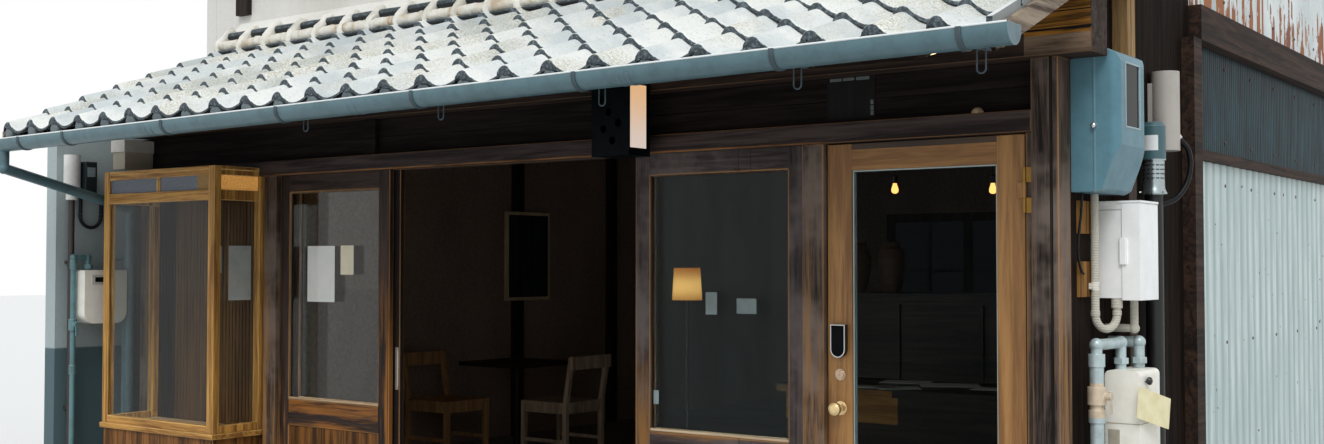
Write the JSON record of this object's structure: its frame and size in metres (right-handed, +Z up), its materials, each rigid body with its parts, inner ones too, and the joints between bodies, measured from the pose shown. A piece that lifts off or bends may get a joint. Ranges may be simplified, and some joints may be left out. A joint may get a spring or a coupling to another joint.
{
  "type": "machiya townhouse",
  "caption": "Two-storey wooden row townhouse: sliding glass shop front, hinged entry door, projecting show window, tiled pent roof with gutter, plastered upper storey and gable roof.",
  "frame": {"origin": "on the ground under the middle of the frontage, in the plane of the sliding sashes", "axes": "+X along the frontage to the right as seen from the street, +Y into the house, +Z up"},
  "size_m": [6.6252, 9.648, 6.4123],
  "materials": {
    "dark_timber": "worn dark stain",
    "honey_timber": "oiled satin",
    "aged_timber": "weathered, open grain",
    "pale_timber": "plain sawn",
    "plaster": "lime plaster, matt",
    "grey_plaster": "cement plaster, matt",
    "concrete": "trowelled",
    "roof_tile": "smoked clay, weathered",
    "mortar": "lime mortar",
    "gutter_metal": "matt paint",
    "iron": "dull",
    "sheet_metal": "weathered paint",
    "glass": "clear float",
    "brass": "polished, worn",
    "black_plastic": "satin",
    "meter_grey": "satin enamel",
    "ivory_plastic": "satin",
    "pipe_grey": "galvanised, painted"
  },
  "bodies": {
    "house": {"floor_slab": "concrete", "door_threshold": "aged_timber", "left_party_wall": "plaster", "left_wing_wall": "grey_plaster", "right_side_wall": "plaster", "side_boards": "aged_timber", "corrugated_sheets": "sheet_metal", "sheet_rails": "aged_timber", "rear_wall": "plaster", "upper_front_wall": "plaster", "front_posts": "dark_timber", "upper_posts": "pale_timber", "door_lintel": "dark_timber", "frieze_boards": "dark_timber", "eave_beam": "aged_timber", "upper_girder": "dark_timber", "pent_rafters": "aged_timber", "pent_deck": "aged_timber", "pent_tiles": "roof_tile", "pent_flashing": "mortar", "pent_verges": "pale_timber", "gutter": "gutter_metal", "gutter_brackets": "iron", "downpipe": "gutter_metal", "front_roof_deck": "aged_timber", "rear_roof_deck": "aged_timber", "front_roof_tiles": "roof_tile", "rear_roof_tiles": "roof_tile", "roof_ridge": "roof_tile", "upper_floor": "aged_timber", "upper_window": "dark_timber", "rear_windows": "dark_timber", "window_glass": "glass", "show_base": "honey_timber", "show_frame": "honey_timber", "show_glass": "glass", "show_back": "aged_timber", "door_hinges": "brass", "box_sign": "black_plastic", "power_meter_box": "meter_grey", "side_boxes": "ivory_plastic", "gas_meters": "ivory_plastic", "gas_pipes": "pipe_grey", "recess_boxes": "ivory_plastic", "meter_conduit": "ivory_plastic", "room_posts": "dark_timber", "room_furniture": "aged_timber", "counter": "dark_timber", "wall_fittings": "aged_timber"},
    "left_outer_sash": {"sash_left_outer": "dark_timber", "sash_glass_1": "glass"},
    "left_inner_sash": {"sash_left_inner": "dark_timber", "sash_glass_2": "glass"},
    "right_inner_sash": {"sash_right_inner": "dark_timber", "sash_glass_3": "glass"},
    "right_outer_sash": {"sash_right_outer": "dark_timber", "sash_glass_4": "glass"},
    "entry_door_leaf": {"entry_door": "honey_timber", "entry_glass": "glass", "door_lock": "brass"}
  },
  "joints": [
    {"name": "left_outer_slide", "type": "slide", "parent": "house", "child": "left_outer_sash", "axis": [1, 0, 0], "range_m": [0, 0.8485]},
    {"name": "left_inner_slide", "type": "slide", "parent": "house", "child": "left_inner_sash", "axis": [1, 0, 0], "range_m": [-0.035, 0.8085]},
    {"name": "right_inner_slide", "type": "slide", "parent": "house", "child": "right_inner_sash", "axis": [-1, 0, 0], "range_m": [0, 0.8485]},
    {"name": "right_outer_slide", "type": "slide", "parent": "house", "child": "right_outer_sash", "axis": [-1, 0, 0], "range_m": [0, 0.8485]},
    {"name": "entry_door_swing", "type": "hinge", "parent": "house", "child": "entry_door_leaf", "pos_m": [2.9825, -0.014, 0], "axis": [0, 0, 1], "range_deg": [0, 100]}
  ]
}
